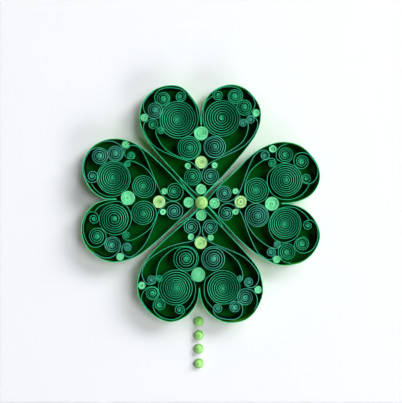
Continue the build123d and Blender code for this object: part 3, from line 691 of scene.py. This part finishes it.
def add_strip(name, half_name, leaf, route, first, last, wall, discs):
    """One strip of a half leaf: its first coil or None, its free stretch, and its last coil or None."""
    first_turns = end_turns(half_name, first, route[0], route[1])
    last_turns = end_turns(half_name, last, route[-1], route[-2])
    middle = [cleared(p, wall, discs) for p in smooth([first_turns[0], *route, last_turns[0]])]
    path = (first_turns[::-1] if first else []) + middle + (last_turns if last else [])
    path = [on_card(p, leaf) for p in path]
    drops = dict.fromkeys(range(len(path)), 0)
    if first:
        drops.update(leaning(path, first, leaf, half_name, range(len(first_turns) - 1, -1, -1)))
    if last:
        drops.update(leaning(path, last, leaf, half_name, range(len(path) - len(last_turns), len(path))))
    tops = wavering(len(path), name, wall_high.z)
    lefts = [top - max(-drops[i], 0) for i, top in enumerate(tops)]
    rights = [top - max(drops[i], 0) for i, top in enumerate(tops)]
    points, faces = ribbon(path, wall_low.z, lefts, right_tops=rights)
    material, slot = (teal, "teal_strip") if name in teal_strips else (emerald, "emerald_strip")
    new_piece(name, points, faces, material, slot, name)


# Rolls

def add_peg(name, centre, radius, material, slot, node):
    line, sinking = roll(radius, name)
    path = [centre + p for p in line]
    tops = [wall_high.z - depth * mm for depth in sinking]
    points, faces = ribbon(path, wall_low.z, tops, thickness=roll_thickness, bevel=roll_bevel)
    new_piece(name, points, faces, material, slot, node)


def add_dome(name, centre, radius, low, high, node):
    """A tight roll pushed up into a dome. It is wound to the left, so its left side is the inner one."""
    line, _ = roll(radius, name)
    path = [centre + p for p in line]
    rim = low + dome_rim_height * mm
    rise = high - low - dome_rim_height * mm
    half = roll_thickness / 2
    outer, inner = [
        [rim + rise * sqrt(max(1 - ((abs(p) + offset) / radius) ** 2, 0)) for p in line]
        for offset in (half, -half)]
    points, faces = ribbon(path, low, inner, thickness=roll_thickness, right_tops=outer, bevel=roll_bevel)
    # Where the tops tilt steeply near the rim, they take the paper's darker face colour: painted shade on
    # the dome's flanks.
    new_piece(name, points, faces, light_green, "light_green_dome", node)


# Leaves

def pegs_of(leaf, wall):
    """Each peg of the leaf: its name, the leaf or half that it is named after, and its middle."""
    pegs = [(name, leaf, place(leaves[leaf][name], True)) for name in axis_pegs]
    for half_name, half in halves_of(leaf):
        pegs += [(name, half_name, place(half[name], half["clockwise"])) for name in half_pegs]
    return [(name, owner, kept_inside(centre, peg_radii[name], wall)) for name, owner, centre in pegs]


def coils_of(leaf, wall, peg_discs):
    """Middle and radius of each coil of the leaf. It is smaller where the wall or a peg is too near."""
    coils = {}
    for half_name, half in halves_of(leaf):
        for name in windings:
            centre = place(half[name], half["clockwise"])
            room = abs(nearest(wall, centre)[0] - centre) - strip_thickness / 2
            rooms = [abs(peg - centre) - radius for peg, radius in peg_discs]
            coils[half_name, name] = centre, min(half[name][2], min(room, *rooms) - touch_gap)
    return coils


def add_base(leaf, wall):
    outline = [on_card(p, leaf) for p in wall]
    count = len(outline)
    points = [(p.real * mm, p.imag * mm, z) for z in (base_low.z, base_high.z) for p in outline]
    faces = [tuple(range(count - 1, -1, -1)), tuple(range(count, 2 * count))]
    faces += [(k, (k + 1) % count, count + (k + 1) % count, count + k) for k in range(count)]
    new_piece(f"{leaf}_leaf_base", points, faces, base_green, "dark_green_base", f"{leaf}_leaf_base")


def add_wall(leaf):
    path = [on_card(p, leaf) for p in wall_path(leaf)]
    points, faces = ribbon(path, wall_low.z, wavering(len(path), leaf, wall_high.z))
    new_piece(f"{leaf}_leaf_wall", points, faces, wall_green, "green_wall", f"{leaf}_leaf_wall")


def add_leaf(leaf):
    up, bend, down = wall_course(leaf)
    wall = up + bend + down
    add_base(leaf, wall[:-1])
    add_wall(leaf)
    pegs = pegs_of(leaf, wall)
    peg_discs = [(centre, peg_radii[name]) for name, _, centre in pegs]
    coils = coils_of(leaf, wall, peg_discs)
    for half_name, half in halves_of(leaf):
        for strip, (first, run, last) in strips.items():
            own = [(half_name, first), (half_name, last)]
            ends = [(end, *coils[half_name, end]) if end else None for end in (first, last)]
            discs = peg_discs + [coil for key, coil in coils.items() if key not in own]
            add_strip(f"{half_name}_{strip}", half_name, leaf, stretch(half, run), *ends, wall, discs)
    for name, owner, centre in pegs:
        material, slot = (yellow_green, "yellow_green_peg") if name == "yellow_peg" else (mint, "mint_peg")
        add_peg(f"{owner}_{name}", on_card(centre, leaf), peg_radii[name], material, slot, f"{name}s")


for leaf in leaves:
    add_leaf(leaf)
add_dome("centre_dome", clover_middle, centre_dome_radius, dome_low.z, dome_high.z, "centre_dome")
for number, distance in enumerate(stem_distances, 1):
    centre = complex(stem_x, clover_middle.imag - distance)
    add_dome(f"stem_coil_{number}", centre, stem_coil_radius, stem_low.z, stem_high.z, "stem_coils")
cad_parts["backing_card"].data.materials.clear()
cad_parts["backing_card"].data.materials.append(card)


# Floor

floor_side = 4.0
floor_drop = 0.2 * mm
floor_grey = 0.86
floor_roughness = 0.9

half_floor = floor_side / 2
corners = [(x * half_floor, y * half_floor, -floor_drop) for x, y in ((-1, -1), (1, -1), (1, 1), (-1, 1))]
floor_mesh = bpy.data.meshes.new("floor")
floor_mesh.from_pydata(corners, [], [(0, 1, 2, 3)])
floor = bpy.data.objects.new("floor", floor_mesh)
bpy.context.scene.collection.objects.link(floor)
floor_material = bpy.data.materials.new("floor_material")
floor_material.use_nodes = True
floor_shader = floor_material.node_tree.nodes["Principled BSDF"]
floor_shader.inputs["Base Color"].default_value = (floor_grey, floor_grey, floor_grey, 1)
floor_shader.inputs["Roughness"].default_value = floor_roughness
floor_mesh.materials.append(floor_material)


# Lamps

lamp_distance = 5.0
cool = (0.995, 0.985, 1)
warm = (1, 0.985, 0.99)

# Each lamp: its azimuth and elevation, half the angle that it fills, its level, and its tint
lamps = {
    "low_window": (30, 20, 12, 0.08, cool),
    "main_window": (34, 30, 11, 0.23, cool),
    "upper_window": (62, 33, 11, 0.15, cool),
    "high_window": (12, 59, 13, 0.29, cool),
    "side_window": (-32, 26, 10, 0.1, warm),
    "lower_window": (-60, 24, 11, 0.1, warm),
    "far_window": (197, 54, 9, 0.06, warm),
}


def add_lamp(name, azimuth, elevation, half_angle, level, tint):
    """Soft round lamp that lights the middle of the card to this level, where 1 is white."""
    reach = lamp_distance * tan(radians(half_angle))
    a, e = radians(azimuth), radians(elevation)
    lamp = bpy.data.lights.new(name, "AREA")
    lamp.shape = "DISK"
    lamp.size = 2 * reach
    lamp.energy = level * pi**2 * (reach**2 + lamp_distance**2) / sin(e)
    lamp.color = tint
    light = bpy.data.objects.new(name, lamp)
    light.location = [lamp_distance * share for share in (cos(e) * cos(a), cos(e) * sin(a), sin(e))]
    light.rotation_euler = (pi / 2 - e, 0, a + pi / 2)
    bpy.context.scene.collection.objects.link(light)


for name, settings in lamps.items():
    add_lamp(name, *settings)


# World: a faint sky that lights the object, and a pale backdrop that the camera and reflections see

sky_colour = (1, 0.98, 0.82, 1)
sky_strength = 0.02
backdrop_colour = (0.93, 0.93, 0.93, 1)

world = bpy.data.worlds.new("world")
bpy.context.scene.world = world
world.use_nodes = True
tree = world.node_tree
sky = tree.nodes["Background"]
sky.inputs["Color"].default_value = sky_colour
sky.inputs["Strength"].default_value = sky_strength
backdrop = tree.nodes.new("ShaderNodeBackground")
backdrop.inputs["Color"].default_value = backdrop_colour
path_kind = tree.nodes.new("ShaderNodeLightPath")
seen = path_kind.outputs["Is Camera Ray"]
for kind in ("Is Glossy Ray", "Is Transmission Ray"):
    either = tree.nodes.new("ShaderNodeMath")
    either.operation = "MAXIMUM"
    tree.links.new(seen, either.inputs[0])
    tree.links.new(path_kind.outputs[kind], either.inputs[1])
    seen = either.outputs[0]
chosen = tree.nodes.new("ShaderNodeMixShader")
tree.links.new(seen, chosen.inputs[0])
tree.links.new(sky.outputs[0], chosen.inputs[1])
tree.links.new(backdrop.outputs[0], chosen.inputs[2])
tree.links.new(chosen.outputs[0], tree.nodes["World Output"].inputs["Surface"])


# Camera: straight above, with the card's face as wide as the picture

camera_height = 430 * mm
camera_near = 0.01
camera_far = 20

camera_data = bpy.data.cameras.new("camera")
camera_data.sensor_fit = "HORIZONTAL"
camera_data.angle = 2 * atan((card_high.x - card_low.x) / 2 / camera_height)
camera_data.clip_start = camera_near
camera_data.clip_end = camera_far
camera = bpy.data.objects.new("camera", camera_data)
camera.location = (0, 0, card_high.z + camera_height)
bpy.context.scene.collection.objects.link(camera)
bpy.context.scene.camera = camera
bpy.context.scene.view_settings.view_transform = "Standard"
